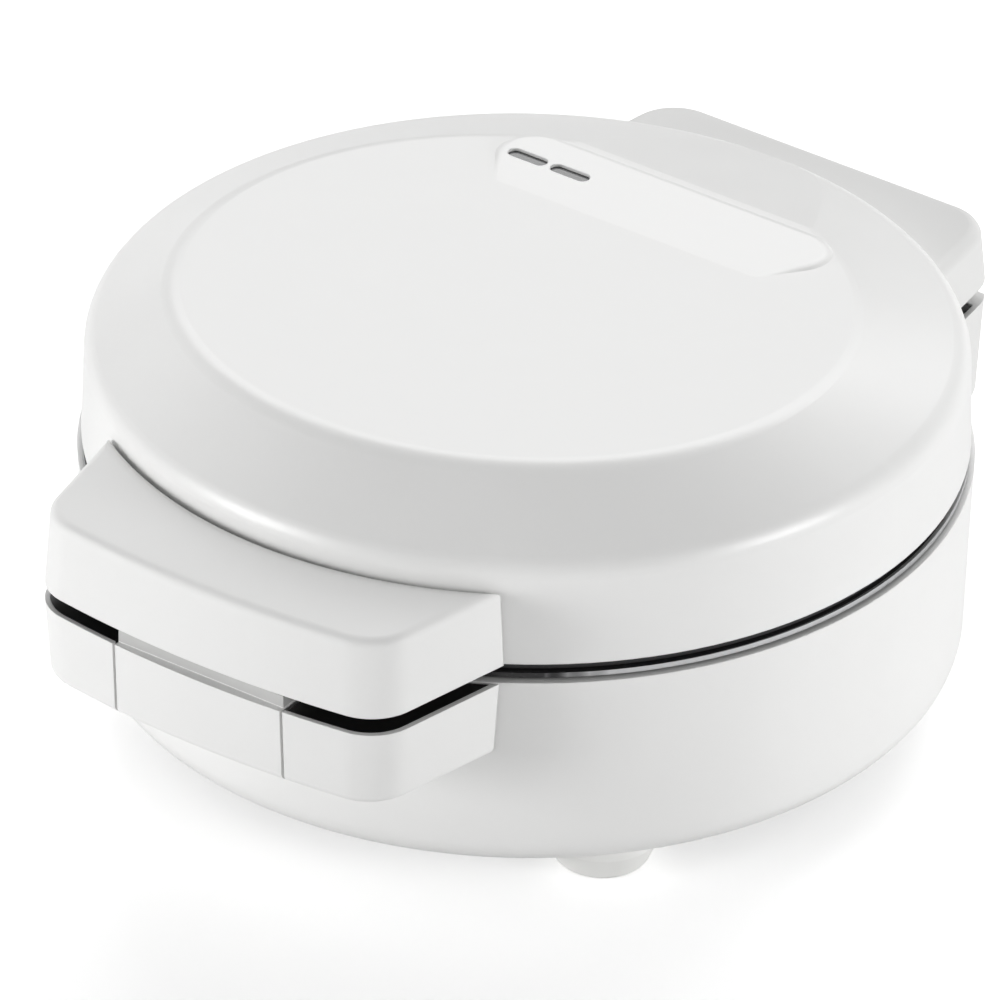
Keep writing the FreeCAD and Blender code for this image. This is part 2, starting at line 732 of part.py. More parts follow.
def lower_handle():
    """Lower half of the handle: a shell open above, with the latch's window and pin lugs."""
    block = rounded_rim(handle_ear(z_handle_bottom, z_rim, 0, ear_draft, 0), z_handle_bottom, ear_edge)
    hollow = handle_ear(z_handle_bottom + ear_wall, z_rim, ear_wall, ear_draft, 0)
    rebate = handle_ear(z_rim - cover_sink - cover_t, z_rim, ear_lip, 0, 0)
    shell = block.cut(hollow.cut(base_body(groove_gap + ear_wall))).cut(rebate)
    shell = shell.cut(base_body(groove_gap)).cut(latch_window(0, latch_t + latch_swing))
    x0 = latch_half_w
    z_lug = z_rim - cover_sink - cover_t - seat_gap
    lugs = [box(min(s * x0, s * (x0 + lug_t)), max(s * x0, s * (x0 + lug_t)), y_nose + ear_wall,
                y_latch_pin + latch_ear_r, z_handle_bottom, z_lug) for s in SIDES]
    lugs = [lug.common(block) for lug in lugs]
    bosses = ear_bosses(-1, z_lower_ear_screw, base_body, z_handle_bottom + ear_wall / 2)
    bore = rod(latch_pin_r + seat_gap, V(-x0 - lug_t, y_latch_pin, z_latch_pin),
               V(x0 + lug_t, y_latch_pin, z_latch_pin))
    return cut(fuse([shell] + lugs + bosses), ear_bites(-1, z_lower_ear_screw) + [bore])


def lower_handle_cover():
    z = z_rim - cover_sink
    plate = handle_ear(z - cover_t, z, ear_lip + run_gap, 0, 0)
    return plate.cut(base_body(groove_gap)).cut(latch_gap_box(z - cover_t, z))


def knuckle_span(i):
    x = (i - knuckle_count / 2) * knuckle_l
    return x, x + knuckle_l


def hinge_rods(r, lower, gap):
    """The barrel lengths of one half of the hinge, as rods of one radius."""
    rods = []
    for i in range(knuckle_count):
        if (i % 2 == 0) == lower:
            x0, x1 = knuckle_span(i)
            rods.append(rod(r, V(x0 - gap, y_hinge, z_hinge), V(x1 + gap, y_hinge, z_hinge)))
    return rods


def hinge_bevel(sign, z):
    """Room behind the hinge axis, cut so that the two blocks meet as a stop when the lid is open."""
    half_gap = (z_lid - z_rim) / 2
    rise = hinge_inset * math.tan(math.radians((lid_open_deg + stop_spare_deg) / 2)) - half_gap
    out = 2 * hinge_inset
    x = -hinge_half_w - hinge_corner_r
    points = [V(x, y_hinge, z), V(x, y_hinge + out, z),
              V(x, y_hinge + out, z + sign * rise * out / hinge_inset)]
    edges = [line(points[i], points[(i + 1) % len(points)]) for i in range(len(points))]
    return Part.Face(Part.Wire(edges)).extrude(V(-2 * x, 0, 0))


def hinge_block(z0, z1, lower):
    """Half of the rear block, with its knuckles and a hollow towards the body for the leads."""
    gap_z = z1 if lower else z0
    far_z = z0 if lower else z1
    drafts = (ear_draft, 0) if lower else (0, ear_draft)
    body = base_body if lower else lid_body
    z_screw = z_lower_ear_screw if lower else z_upper_ear_screw
    block = rounded_rim(hinge_ear(z0, z1, 0, *drafts), far_z, hinge_edge)
    hollow0 = z0 + ear_wall if lower else z0 + hinge_roof
    hollow1 = z1 - hinge_roof if lower else z1 - ear_wall
    hollow = hinge_ear(hollow0, hollow1, ear_wall + bush_flange_t, *drafts)
    block = to_rear(block.cut(hollow)).cut(body(groove_gap))
    block = fuse([block] + ear_bosses(1, z_screw, body, gap_z))
    room = hinge_rods(knuckle_r + swing_gap, not lower, swing_gap)
    block = cut(block, room + [hinge_bevel(-1 if lower else 1, gap_z)])
    block = fuse([block] + hinge_rods(knuckle_r, lower, -swing_gap / 2))
    lip0, lip1 = hinge_cover_span(lower)
    rebate = hinge_cover_block(lower, ear_lip, min(lip0, gap_z), max(lip1, gap_z))
    return cut(block, ear_bites(1, z_screw) + [rebate])


def hinge_cover_span(lower):
    if lower:
        return z_rim - cover_sink - cover_t, z_rim - cover_sink
    return z_lid + cover_sink, z_lid + cover_sink + cover_t


def hinge_cover_block(lower, inset, z0, z1):
    """Plate in front of the hinge barrel that lines the gap between the blocks."""
    plate = to_rear(hinge_ear(z0, z1, inset, 0, 0))
    behind = y_hinge - knuckle_r - 2 * swing_gap - (inset - ear_lip)
    body = base_body(groove_gap) if lower else lid_body(groove_gap)
    reach = hinge_half_w + hinge_corner_r
    return plate.cut(box(-reach, reach, behind, hinge_reach + hinge_inset, z0, z1)).cut(body)


def hinge_cover(lower):
    z0, z1 = hinge_cover_span(lower)
    return hinge_cover_block(lower, ear_lip + run_gap, z0, z1)


z_hinge_bottom = z_rim - lower_hinge_h
z_hinge_top = z_lid + upper_hinge_h
x_blind = knuckle_span(0)[0] + shell_t
x_mouth = knuckle_span(knuckle_count - 1)[1]


def lower_hinge_block():
    block = hinge_block(z_hinge_bottom, z_rim, True)
    bore = rod(hinge_pin_r + seat_gap / 2, V(x_blind, y_hinge, z_hinge), V(x_mouth, y_hinge, z_hinge))
    cord = rod(cord_r + bush_wall + seat_gap, V(0, lid_top_r, bush_z),
               V(0, hinge_reach + shell_t, bush_z))
    return cut(block, [bore, cord])


def upper_hinge_block():
    block = hinge_block(z_lid, z_hinge_top, False)
    bore = rod(hinge_pin_r + run_gap, V(x_blind, y_hinge, z_hinge), V(x_mouth, y_hinge, z_hinge))
    return block.cut(bore)


def hinge_pin():
    return rod(hinge_pin_r, V(x_blind + hole_gap, y_hinge, z_hinge),
               V(x_mouth - shell_t, y_hinge, z_hinge))


def hinge_plug():
    return rod(hinge_pin_r, V(x_mouth - shell_t + seat_gap, y_hinge, z_hinge),
               V(x_mouth, y_hinge, z_hinge))


def cord_bush():
    """Flanged bush that lines the hole for the mains lead."""
    y0 = hinge_reach - 2 * (ear_wall + bush_flange_t)
    body = rod(cord_r + bush_wall, V(0, y0, bush_z), V(0, hinge_reach, bush_z))
    flange = rod(cord_r + bush_wall + bush_flange, V(0, hinge_reach + seat_gap, bush_z),
                 V(0, hinge_reach + bush_flange_t, bush_z))
    joint = rod(cord_r + bush_wall, V(0, y0, bush_z), V(0, hinge_reach + bush_flange_t, bush_z))
    bore = rod(cord_r, V(0, y0, bush_z), V(0, hinge_reach + bush_flange_t, bush_z))
    return fuse([body, joint, flange]).cut(bore)


# Latch

def latch_lever():
    """Flush front plate with a shelf in the handle gap and two hooked arms above it."""
    block = rounded_rim(handle_ear(z_handle_bottom, z_rim, 0, ear_draft, 0), z_handle_bottom, ear_edge)
    plate = block.common(latch_window(latch_slit, latch_t))
    half = latch_half_w - latch_slit
    z_shelf = z_lid - latch_shelf_clear
    y_shelf = y_nose + latch_shelf_back
    shelf = box(-half, half, y_shelf, y_shelf + latch_shelf_depth, z_rim - latch_t, z_shelf)
    y_arm = y_nose + latch_arm_back
    z_barb = z_catch + catch_t + barb_gap
    arm = box(-latch_arm_half_w, latch_arm_half_w, y_arm, y_arm + latch_arm_t,
              z_shelf - latch_t, z_barb + barb_t)
    barb = box(-latch_arm_half_w, latch_arm_half_w, y_arm - barb_reach, y_arm, z_barb, z_barb + barb_t)
    ears = []
    bore = rod(latch_pin_r + run_gap, V(-half, y_latch_pin, z_latch_pin),
               V(half, y_latch_pin, z_latch_pin))
    for s in SIDES:
        x0, x1 = sorted((s * latch_ear_x, s * (latch_ear_x + latch_ear_w)))
        eye = rod(latch_ear_r, V(x0, y_latch_pin, z_latch_pin), V(x1, y_latch_pin, z_latch_pin))
        neck = box(x0, x1, y_nose + latch_t / 2, y_latch_pin, z_latch_pin - latch_ear_r, z_rim)
        ears.append(fuse([eye, neck]))
    spring_room = rod(2 * spring_coil_r, V(-latch_ear_x, y_latch_pin, z_latch_pin),
                      V(latch_ear_x, y_latch_pin, z_latch_pin))
    return cut(fuse([plate, shelf, arm, barb] + ears), [bore, spring_room])


def latch_pin():
    half = latch_half_w + lug_t
    return rod(latch_pin_r, V(-half, y_latch_pin, z_latch_pin), V(half, y_latch_pin, z_latch_pin))


def latch_spring():
    """Torsion spring about the latch pin, one turn after another along X, with two straight legs."""
    height = spring_pitch * spring_turns
    helix = Part.makeHelix(spring_pitch, height, spring_coil_r)
    start = V(spring_coil_r, 0, 0)
    circle = Part.Wire(Part.Circle(start, V(0, 1, 0), spring_wire_r).toShape())
    coil = Part.Wire(helix.Edges).makePipeShell([circle], True, True)
    front_leg = latch_pin_depth - latch_t - slot_gap
    legs = [rod(spring_wire_r, V(spring_coil_r, 0, 0), V(spring_coil_r, -front_leg, 0)),
            rod(spring_wire_r, V(spring_coil_r, 0, height), V(spring_coil_r, spring_leg, height))]
    spring = fuse([coil] + legs)
    spring.rotate(V(0, 0, 0), V(0, 1, 0), 90)
    spring.translate(V(-height / 2, y_latch_pin, z_latch_pin))
    return spring


# Electrical pieces in the base

def thermostat_place():
    return polar(thermostat_r_at, -30)


def fuse_place():
    return polar(thermostat_r_at, 210)


def thermostat():
    """Round snap-action thermostat on a stud, with two blades."""
    at = thermostat_place()
    z = z_lower_deck - mould_r - seat_gap
    body = disc(thermostat_r, z - thermostat_h, z, at.x, at.y)
    stud = disc(screw_r, z, z + thermostat_stud_l, at.x, at.y)
    blades = [box(at.x + s * thermostat_r - lead_r, at.x + s * thermostat_r + lead_r, at.y - 2 * lead_r,
                  at.y + 2 * lead_r, z - thermostat_h, z - thermostat_h + lead_r) for s in SIDES]
    return fuse([body, stud] + blades)


def fuse_clip():
    """Strap that holds the thermal fuse under its boss."""
    at = fuse_place()
    z = z_lower_deck - mould_r - seat_gap
    long = fuse_l / 2
    strap = box(at.x - long, at.x + long, at.y - clamp_boss_r, at.y + clamp_boss_r, z - clamp_t, z)
    return strap.cut(disc(screw_r + hole_gap, z - clamp_t, z, at.x, at.y))


def fuse_screw():
    at = fuse_place()
    z = z_lower_deck - mould_r - clamp_t - 2 * seat_gap
    return screw(screw_bite, V(at.x, at.y, z), UP)


def thermal_fuse():
    """Small axial fuse beside the strap's screw."""
    at = fuse_place()
    z = z_lower_deck - mould_r - clamp_t - 2 * seat_gap - fuse_r
    y = at.y + screw_head_r + fuse_r + hole_gap
    body = rod(fuse_r, V(at.x - fuse_l / 2, y, z), V(at.x + fuse_l / 2, y, z))
    tail = rod(fuse_r / 3, V(at.x - fuse_l, y, z), V(at.x + fuse_l, y, z))
    return fuse([body, tail])


def terminal_block():
    """Block with a row of lead holes, screwed to a boss on the floor."""
    z0 = z_floor + 2 * shell_t + seat_gap
    body = box(-terminal_w / 2, terminal_w / 2, terminal_y - terminal_d / 2, terminal_y + terminal_d / 2,
               z0, z0 + terminal_h)
    pitch = terminal_w / terminal_ways
    ways = []
    for i in range(terminal_ways):
        x = (i + 0.5) * pitch - terminal_w / 2
        ways.append(rod(2 * lead_r, V(x, terminal_y - terminal_d, z0 + 2 * terminal_h / 3),
                        V(x, terminal_y + terminal_d, z0 + 2 * terminal_h / 3)))
    hole = disc(screw_r + hole_gap, z0, z0 + terminal_h, 0, terminal_y)
    well = disc(screw_head_r + hole_gap, z0 + shell_t, z0 + terminal_h, 0, terminal_y)
    return cut(body, ways + [hole, well])


def terminal_screw():
    z = z_floor + 3 * shell_t + 2 * seat_gap
    return screw(2 * shell_t - hole_gap, V(0, terminal_y, z), DOWN)


os.makedirs("parts", exist_ok=True)

element, element_tips = heating_element()
clamps = element_clamps()
lower_clamp_screws = clamp_screws()
shield = heat_shield(element_tips)

export("base_shell", base_shell())
export("feet", feet())
export("base_plate_screws", base_plate_screws())
export("lower_baking_plate", lower_baking_plate())
export("lower_heating_element", element)
export("lower_element_clamps", clamps)
export("lower_clamp_screws", lower_clamp_screws)
export("lower_heat_shield", shield)
export("lower_handle", lower_handle())
export("lower_handle_cover", lower_handle_cover())
export("lower_handle_screws", ear_screws(-1, z_lower_ear_screw))
export("lower_hinge_block", lower_hinge_block())
export("lower_hinge_cover", hinge_cover(True))
export("lower_hinge_screws", ear_screws(1, z_lower_ear_screw))
export("hinge_pin", hinge_pin())
export("hinge_plug", hinge_plug())
export("cord_bush", cord_bush())
export("latch_pin", latch_pin())
export("latch_spring", latch_spring())
export("thermostat", thermostat())
export("thermal_fuse", thermal_fuse())
export("fuse_clip", fuse_clip())
export("fuse_screw", fuse_screw())
export("terminal_block", terminal_block())
export("terminal_screw", terminal_screw())
export("latch_lever", latch_lever())
export("lid_shell", lid_shell())
export("upper_baking_plate", upper_baking_plate())
export("upper_heating_element", flipped(element))
export("upper_element_clamps", [flipped(c) for c in clamps])
export("upper_clamp_screws", [flipped(c) for c in lower_clamp_screws])
export("upper_heat_shield", flipped(shield))
export("lid_plate_screws", lid_plate_screws())
export("upper_handle", upper_handle())
export("upper_handle_cover", upper_handle_cover())
export("upper_handle_screws", ear_screws(-1, z_upper_ear_screw))
export("upper_hinge_block", upper_hinge_block())
export("upper_hinge_cover", hinge_cover(False))
export("upper_hinge_screws", ear_screws(1, z_upper_ear_screw))
for lamp_name, lamp_x in lens_xs.items():
    export(lamp_name + "_lens", lens(lamp_x))
    export(lamp_name + "_lamp", lamp(lamp_x))
export("lamp_bracket", lamp_bracket())
bracket_seat = V(bracket_boss_x, lens_y, z_bracket - bracket_t - 2 * seat_gap)
export("lamp_bracket_screw", screw(screw_bite, bracket_seat, UP))
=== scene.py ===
"""Studio scene of a round electric donut maker.

The construction model is loaded as the frame. Each sub-assembly class below dresses its own nodes with
procedural finishes, and the studio class sets the floor, the light and the camera.
All sizes are in metres unless a name ends in _mm or _deg.
"""

import json
import logging
import math
from dataclasses import dataclass, field
from enum import Enum
from typing import Iterable

import bpy
import numpy as np
from mathutils import Matrix, Vector

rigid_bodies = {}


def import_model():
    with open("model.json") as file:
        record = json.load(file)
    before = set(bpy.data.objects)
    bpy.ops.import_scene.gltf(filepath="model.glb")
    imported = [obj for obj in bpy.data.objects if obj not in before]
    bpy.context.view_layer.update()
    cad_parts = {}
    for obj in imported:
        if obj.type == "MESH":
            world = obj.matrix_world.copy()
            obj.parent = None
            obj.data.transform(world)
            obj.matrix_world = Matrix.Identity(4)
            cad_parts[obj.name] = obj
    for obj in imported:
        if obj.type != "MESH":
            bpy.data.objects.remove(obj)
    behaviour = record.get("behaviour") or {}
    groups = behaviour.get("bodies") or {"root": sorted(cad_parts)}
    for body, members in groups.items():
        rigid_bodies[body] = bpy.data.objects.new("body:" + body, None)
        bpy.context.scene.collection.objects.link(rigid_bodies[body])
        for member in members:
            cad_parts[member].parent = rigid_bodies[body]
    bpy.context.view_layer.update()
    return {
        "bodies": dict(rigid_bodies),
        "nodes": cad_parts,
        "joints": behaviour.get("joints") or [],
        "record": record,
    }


logging.basicConfig(level=logging.INFO, format="%(levelname)s %(name)s %(message)s")
log = logging.getLogger("donut_maker")

Colour = tuple[float, float, float, float]

MM = 0.001
# Most values of a noise pattern lie between these two.
NOISE_LOW, NOISE_HIGH = 0.3, 0.7
# Width of the line along which one finish gives way to the next.
FINISH_STEP = 0.1 * MM


class Slot(str, Enum):
    """Material slots of the record."""

    SHELL = "shell_white"
    GRIP = "grip_white"
    LATCH = "latch_white"
    LINER = "liner_black"
    FOOT = "foot_white"
    BUSH = "bush_black"
    PLATE = "plate_coated"
    SHIELD = "shield_bright"
    ELEMENT = "element_steel"
    SCREW = "screw_steel"
    SPRING = "spring_steel"
    CONTROL = "control_black"
    TERMINAL = "terminal_cream"
    LENS = "lens_smoked"
    LAMP = "lamp_glass"


def linear_rgb(hex_code: str) -> Colour:
    """Turns an sRGB hex colour into linear light, by the two branches of the sRGB curve.

    Args:
        hex_code: Six hex digits, with or without a leading mark.

    Returns:
        Red, green, blue and an alpha of one.
    """
    digits = hex_code.lstrip("#")
    channels = [int(digits[i:i + 2], 16) / 255 for i in (0, 2, 4)]
    red, green, blue = (c / 12.92 if c <= 0.04045 else ((c + 0.055) / 1.055) ** 2.4 for c in channels)
    return red, green, blue, 1.0


@dataclass(frozen=True)
class Finish:
    """How one material of the object is made and looks.

    Attributes:
        name: The material and its process.
        slot: The record's slot that it stands for.
        colour: sRGB hex of the surface.
        roughness: Middle of its roughness.
        roughness_swing: How far cloudy wear moves the roughness either way.
        metallic: One for bare metal.
        coat: Weight of a clear skin over it.
        grain_mm: Size of its surface grain.
        grain_depth_mm: Height of that grain.
        cloud_mm: Size of the soft tone clouds.
        cloud_tone: Share of the tone that the clouds move.
        edge_mm: Radius of the small round that the mould leaves on sharp edges, or none.
        edge_wear: How far handling moves the roughness along those edges.
        painted_shade_colour: sRGB hex of painted shade on what stands above a level, or none.
        painted_shade_from_mm: That level.
        transmission: Share of light that passes through.
        ior: Index of refraction.
    """

    name: str
    slot: Slot
    colour: str
    roughness: float
    roughness_swing: float = 0.03
    metallic: float = 0.0
    coat: float = 0.0
    grain_mm: float = 1.0
    grain_depth_mm: float = 0.002
    cloud_mm: float = 40.0
    cloud_tone: float = 0.02
    edge_mm: float = 0.0
    edge_wear: float = 0.0
    painted_shade_colour: str = ""
    painted_shade_from_mm: float = 0.0
    transmission: float = 0.0
    ior: float = 1.5


class Finishes(Enum):
    """The finishes of the whole object, each with what it gives the eye."""

    # Polished steel moulds give ABS an even white skin with wide, soft highlights.
    SHELL = Finish("abs_injection_moulded_gloss_white", Slot.SHELL, "#F7F7F6", 0.42, 0.02, coat=0.3,
                   grain_mm=2.4, grain_depth_mm=0.0012, edge_mm=0.5, edge_wear=0.12, ior=1.54)
    # A spark-eroded mould leaves a fine matt grain, so the grips read a little greyer than the shells.
    # The grain is drawn coarser than the real 0.1 mm, so that it shows.
    GRIP = Finish("abs_spark_eroded_white", Slot.GRIP, "#F3F3F2", 0.6, 0.04, grain_mm=0.42,
                  grain_depth_mm=0.006, edge_mm=0.4, edge_wear=-0.15, ior=1.54)
    # The hinge blocks take the grips' white painted a shade darker: painted shade for the weaker light that
    # falls on them.
    HINGE_PAINTED_SHADE = Finish("abs_spark_eroded_white_painted_shade", Slot.GRIP, "#E9E9E8", 0.6, 0.04, grain_mm=0.42,
                   grain_depth_mm=0.006, edge_mm=0.4, edge_wear=-0.15, ior=1.57)
    # Acetal is waxy: half way between gloss and matt, with edges rubbed smooth by the thumb. The shelf and
    # hooks in the gap above the handle's rim are painted a dull grey: painted shade for the shadow in that
    # gap.
    LATCH = Finish("pom_injection_moulded_white", Slot.LATCH, "#F4F4F3", 0.42, 0.03, grain_mm=0.6,
                   grain_depth_mm=0.002, edge_mm=0.3, edge_wear=-0.12, painted_shade_colour="#C9C9C8",
                   painted_shade_from_mm=64.3, ior=1.48)
    # Black polypropylene drinks the light in the gap, with a dull sheen along its rim.
    LINER = Finish("pp_injection_moulded_black", Slot.LINER, "#1B1B1B", 0.48, 0.05, grain_mm=0.5,
                   grain_depth_mm=0.004, edge_mm=0.2, edge_wear=-0.1, ior=1.49)
    # Soft elastomer scatters light without any highlight.
    FOOT = Finish("tpe_overmoulded_white", Slot.FOOT, "#F2F2F0", 0.62, 0.05, grain_mm=0.35,
                  grain_depth_mm=0.006)
    # Cured rubber is nearly black and chalky.
    BUSH = Finish("epdm_moulded_black", Slot.BUSH, "#202020", 0.66, 0.05, grain_mm=0.5,
                  grain_depth_mm=0.006)
    # Rolled sheet mirrors softly, with faint waves from the rolls.
    SHIELD = Finish("aluminium_sheet_rolled", Slot.SHIELD, "#D4D5D7", 0.28, 0.06, metallic=1.0,
                    grain_mm=0.8, grain_depth_mm=0.002)
    # Heat turns the drawn tube a patchy grey brown.
    ELEMENT = Finish("steel_tube_drawn_oxidised", Slot.ELEMENT, "#77746F", 0.42, 0.08, metallic=1.0,
                     grain_mm=0.5, grain_depth_mm=0.004, cloud_mm=9.0, cloud_tone=0.3)
    # Zinc gives small parts a cool, slightly cloudy shine.
    SCREW = Finish("steel_zinc_plated", Slot.SCREW, "#C4C6C9", 0.30, 0.06, metallic=1.0, grain_mm=0.3,
                   grain_depth_mm=0.002)
    # Wire keeps the bright lines of its die.
    SPRING = Finish("steel_wire_drawn", Slot.SPRING, "#A9ABAE", 0.26, 0.04, metallic=1.0, grain_mm=0.3,
                    grain_depth_mm=0.002)
    # Phenolic is dark brown with a thin resin gloss.
    CONTROL = Finish("phenolic_moulded_dark", Slot.CONTROL, "#2B2724", 0.45, 0.05, grain_mm=0.6,
                     grain_depth_mm=0.004, ior=1.6)
    # Undyed polyamide is a warm cream, dull as bone.
    TERMINAL = Finish("polyamide_moulded_cream", Slot.TERMINAL, "#DDD8C6", 0.50, 0.04, grain_mm=0.5,
                      grain_depth_mm=0.004, ior=1.53)
    # Smoked polycarbonate is a dark grey window with a clear, smooth skin.
    LENS = Finish("polycarbonate_moulded_smoked", Slot.LENS, "#3A3B3D", 0.24, 0.02, coat=0.1,
                  grain_mm=0.8, grain_depth_mm=0.001, ior=1.585)
    # Drawn glass shows only its outline and its glints.
    LAMP = Finish("glass_tube_drawn_clear", Slot.LAMP, "#F4F1EA", 0.05, 0.01, transmission=1.0,
                  grain_mm=1.0, grain_depth_mm=0.001, ior=1.52)


class NodeTree:
    """Small helper that adds and joins shader nodes."""

    def __init__(self, material: bpy.types.Material) -> None:
        """Empties the material's node tree.

        Args:
            material: The material whose nodes are to be made.
        """
        material.use_nodes = True
        self.tree = material.node_tree
        self.tree.nodes.clear()

    def add(self, kind: str, *values: object, operation: str = "", **sockets: object) -> bpy.types.Node:
        """Adds a node and fills its inputs.

        Args:
            kind: Type name of the shader node.
            *values: The first inputs in their order, each a value or an output socket.
            operation: What a math node does, or its default.
            **sockets: Input name, with spaces as underscores, to a value or an output socket.

        Returns:
            The new node.
        """
        node = self.tree.nodes.new(kind)
        if operation:
            node.operation = operation
        inputs = [(node.inputs[index], value) for index, value in enumerate(values)]
        inputs += [(node.inputs[key.replace("_", " ")], value) for key, value in sockets.items()]
        for target, value in inputs:
            if isinstance(value, bpy.types.NodeSocket):
                self.tree.links.new(value, target)
            else:
                target.default_value = value
        return node


class FinishShop:
    """Makes each finish once and hands it out.

    Attributes:
        CLOUD_DETAIL: Octaves of the soft tone clouds.
        GRAIN_DETAIL: Octaves of the surface grain.
        COAT_ROUGHNESS: Roughness of a clear skin.
        EDGE_WORN: Cosine between the rounded and the face's own normal where an edge is fully rubbed.
        EDGE_FRESH: The same cosine where the rubbing ends.
    """

    CLOUD_DETAIL: float = 3.0
    GRAIN_DETAIL: float = 2.0
    COAT_ROUGHNESS: float = 0.3
    EDGE_WORN: float = 0.75
    EDGE_FRESH: float = 0.98

    def __init__(self) -> None:
        """Starts with no finish made."""
        self._made: dict[str, bpy.types.Material] = {}

    def get(self, finish: Finish) -> bpy.types.Material:
        """Returns the material of a finish, made on first use.

        Args:
            finish: The finish wanted.

        Returns:
            Its material.
        """
        if finish.name not in self._made:
            self._made[finish.name] = self._make(finish)
            log.info("finish %s stands for %s", finish.name, finish.slot.value)
        return self._made[finish.name]

    def _make(self, finish: Finish) -> bpy.types.Material:
        """Makes a material from soft tone clouds, a fine grain and rubbed edges.

        Args:
            finish: The finish to make.

        Returns:
            Its material.
        """
        material = bpy.data.materials.new(finish.name)
        nodes = NodeTree(material)
        place = nodes.add("ShaderNodeTexCoord").outputs["Object"]
        clouds = nodes.add("ShaderNodeTexNoise", Vector=place, Scale=1 / (finish.cloud_mm * MM),
                           Detail=self.CLOUD_DETAIL).outputs["Fac"]
        grain = nodes.add("ShaderNodeTexNoise", Vector=place, Scale=1 / (finish.grain_mm * MM),
                          Detail=self.GRAIN_DETAIL).outputs["Fac"]
        tone = nodes.add("ShaderNodeMapRange", Value=clouds, From_Min=NOISE_LOW, From_Max=NOISE_HIGH,
                         To_Min=1 - finish.cloud_tone, To_Max=1.0)
        paint = nodes.add("ShaderNodeHueSaturation", Color=self._colour(nodes, finish, place),
                          Value=tone.outputs["Result"])
        wear = nodes.add("ShaderNodeMapRange", Value=clouds, From_Min=NOISE_LOW, From_Max=NOISE_HIGH,
                         To_Min=finish.roughness - finish.roughness_swing,
                         To_Max=finish.roughness + finish.roughness_swing)
        roughness = wear.outputs["Result"]
        rounded: dict[str, bpy.types.NodeSocket] = {}
        if finish.edge_mm:
            rounded["Normal"] = nodes.add("ShaderNodeBevel", Radius=finish.edge_mm * MM).outputs["Normal"]
            roughness = self._rub(nodes, finish, rounded["Normal"], roughness)
        bump = nodes.add("ShaderNodeBump", Height=grain, Strength=1.0,
                         Distance=finish.grain_depth_mm * MM, **rounded)
        shader = nodes.add("ShaderNodeBsdfPrincipled", Base_Color=paint.outputs["Color"],
                           Roughness=roughness, Normal=bump.outputs["Normal"],
                           Metallic=finish.metallic, IOR=finish.ior, Coat_Weight=finish.coat,
                           Coat_Roughness=self.COAT_ROUGHNESS, Transmission_Weight=finish.transmission)
        nodes.add("ShaderNodeOutputMaterial", Surface=shader.outputs["BSDF"])
        return material

    def _colour(self, nodes: NodeTree, finish: Finish,
                place: bpy.types.NodeSocket) -> Colour | bpy.types.NodeSocket:
        """Gives the colour of a finish, with the step to the painted shade colour above its level where it
        has one.

        Args:
            nodes: The material's node helper.
            finish: The finish being made.
            place: Object coordinates.

        Returns:
            One colour, or the socket that carries both.
        """
        colour = linear_rgb(finish.colour)
        if not finish.painted_shade_colour:
            return colour
        # Above this level the colour turns to a painted shade grey.
        level = finish.painted_shade_from_mm * MM
        height = nodes.add("ShaderNodeSeparateXYZ", Vector=place).outputs["Z"]
        above = nodes.add("ShaderNodeMapRange", Value=height, From_Min=level,
                          From_Max=level + FINISH_STEP)
        both = nodes.add("ShaderNodeMixRGB", Fac=above.outputs["Result"], Color1=colour,
                         Color2=linear_rgb(finish.painted_shade_colour))
        return both.outputs["Color"]

    def _rub(self, nodes: NodeTree, finish: Finish, edge: bpy.types.NodeSocket,
             roughness: bpy.types.NodeSocket) -> bpy.types.NodeSocket:
        """Adds the wear along edges, where the rounded normal leaves the face's own.

        Args:
            nodes: The material's node helper.
            finish: The finish being made.
            edge: Normal of the rounded edges.
            roughness: Roughness away from the edges.

        Returns:
            Roughness with the edges rubbed.
        """
        face = nodes.add("ShaderNodeNewGeometry").outputs["Normal"]
        turn = nodes.add("ShaderNodeVectorMath", face, edge, operation="DOT_PRODUCT")
        rubbed = nodes.add("ShaderNodeMapRange", Value=turn.outputs["Value"], From_Min=self.EDGE_WORN,
                           From_Max=self.EDGE_FRESH, To_Min=finish.edge_wear, To_Max=0.0)
        total = nodes.add("ShaderNodeMath", roughness, rubbed.outputs["Result"], operation="ADD")
        return total.outputs["Value"]


